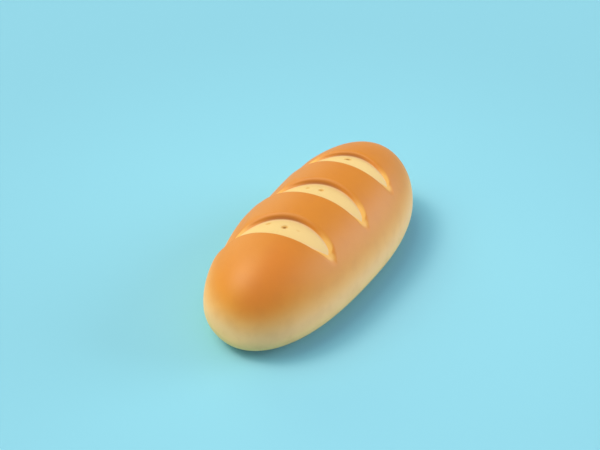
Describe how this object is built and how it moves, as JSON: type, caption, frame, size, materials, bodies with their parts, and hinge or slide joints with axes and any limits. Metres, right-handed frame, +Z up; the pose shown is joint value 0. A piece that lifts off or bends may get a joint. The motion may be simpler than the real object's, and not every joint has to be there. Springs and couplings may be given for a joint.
{
  "type": "baguette",
  "caption": "Short plump white loaf with rounded ends, slanting scores opened to pale crumb across its crown, and a flat baked underside.",
  "frame": {"origin": "middle of the flat underside, below the middle of the loaf", "axes": "+X along the loaf, +Y across it towards the side that the scores lean back from, +Z up"},
  "size_m": [0.25, 0.1184, 0.082],
  "materials": {
    "crust": "satin"
  },
  "bodies": {
    "root": {"loaf": "crust"}
  },
  "joints": []
}
